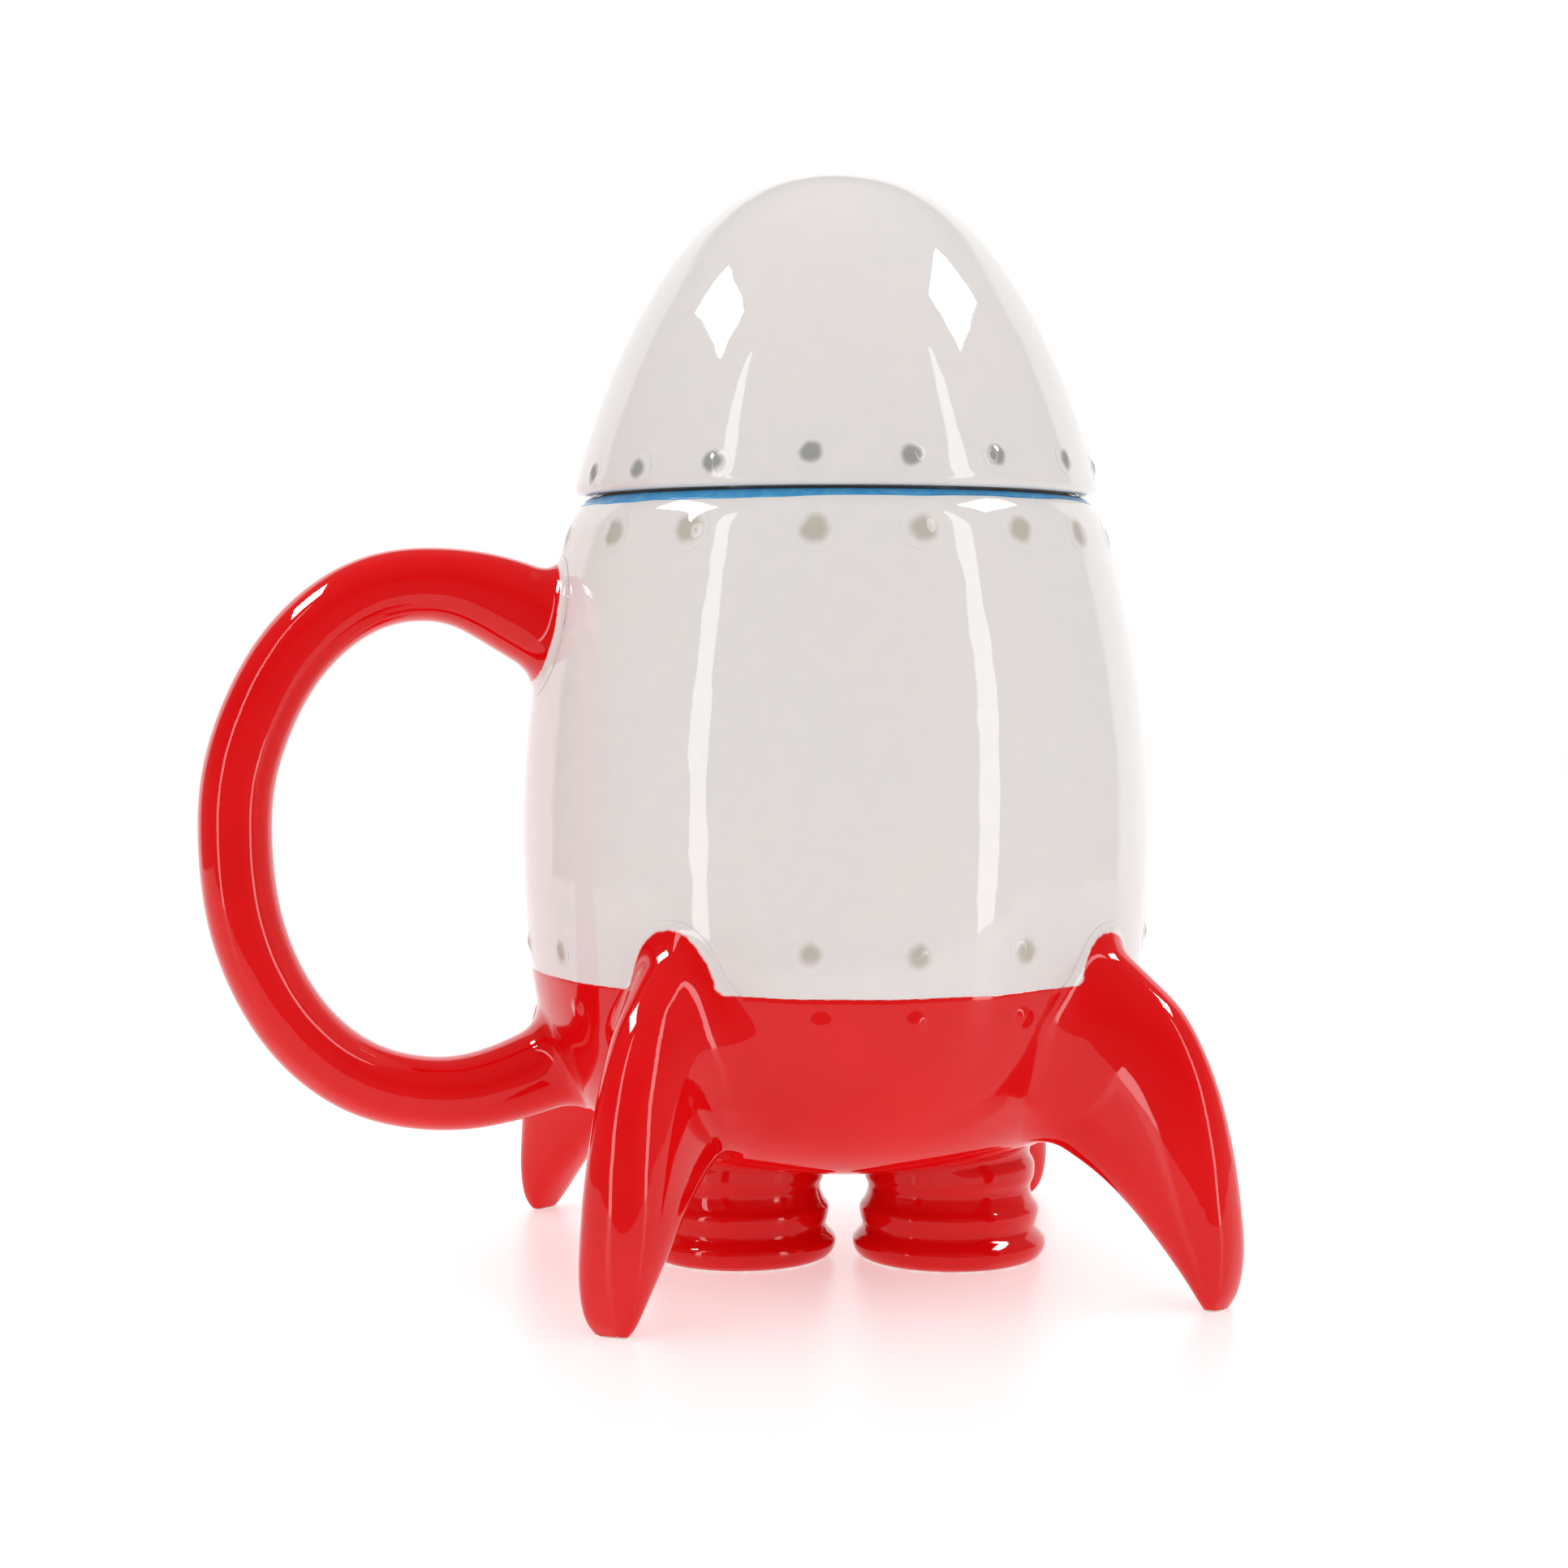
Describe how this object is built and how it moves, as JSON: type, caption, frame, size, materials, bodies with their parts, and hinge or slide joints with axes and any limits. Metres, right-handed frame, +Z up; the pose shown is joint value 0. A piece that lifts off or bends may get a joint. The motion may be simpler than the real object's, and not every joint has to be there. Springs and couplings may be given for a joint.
{
  "type": "lidded rocket mug",
  "caption": "Glazed ceramic mug shaped like a rocket, on four curved fin legs, with a round handle, mock nozzles and a nose-cone lid that lifts off.",
  "frame": {"origin": "on the ground, at the middle of the bounding box of the footprint; the rocket's own axis stands 22.5 mm along +X from it", "axes": "+Z up through the nose cone; the handle points along -X; the engine nozzles stand side by side along X; the side with the plain front faces -Y"},
  "size_m": [0.1373, 0.0922, 0.1573],
  "materials": {
    "white_glaze": "glossy white glaze",
    "red_glaze": "glossy red glaze",
    "blue_glaze": "glossy blue underglaze paint",
    "grey_paint": "glossy warm grey underglaze paint",
    "lid_grey_paint": "glossy grey underglaze paint"
  },
  "bodies": {
    "cup": {"cup_body": "white_glaze", "base_coat": "red_glaze", "rim_band": "blue_glaze", "handle": "red_glaze", "fin_front_left": "red_glaze", "fin_front_right": "red_glaze", "fin_back_left": "red_glaze", "fin_back_right": "red_glaze", "nozzle_left": "red_glaze", "nozzle_right": "red_glaze", "upper_rivets": "grey_paint", "lower_rivets": "grey_paint", "base_rivets": "red_glaze"},
    "lid_seat": {"lid_collar": "white_glaze"},
    "lid": {"lid_dome": "white_glaze", "lid_rivets": "lid_grey_paint"}
  },
  "joints": [
    {"name": "lid_lift", "type": "slide", "parent": "cup", "child": "lid_seat", "axis": [0, 0, 1], "range_m": [0, 0.06]},
    {"name": "lid_turn", "type": "hinge", "parent": "lid_seat", "child": "lid", "pos_m": [0.0225, 0, 0.1105], "axis": [0, 0, 1], "continuous": true}
  ]
}
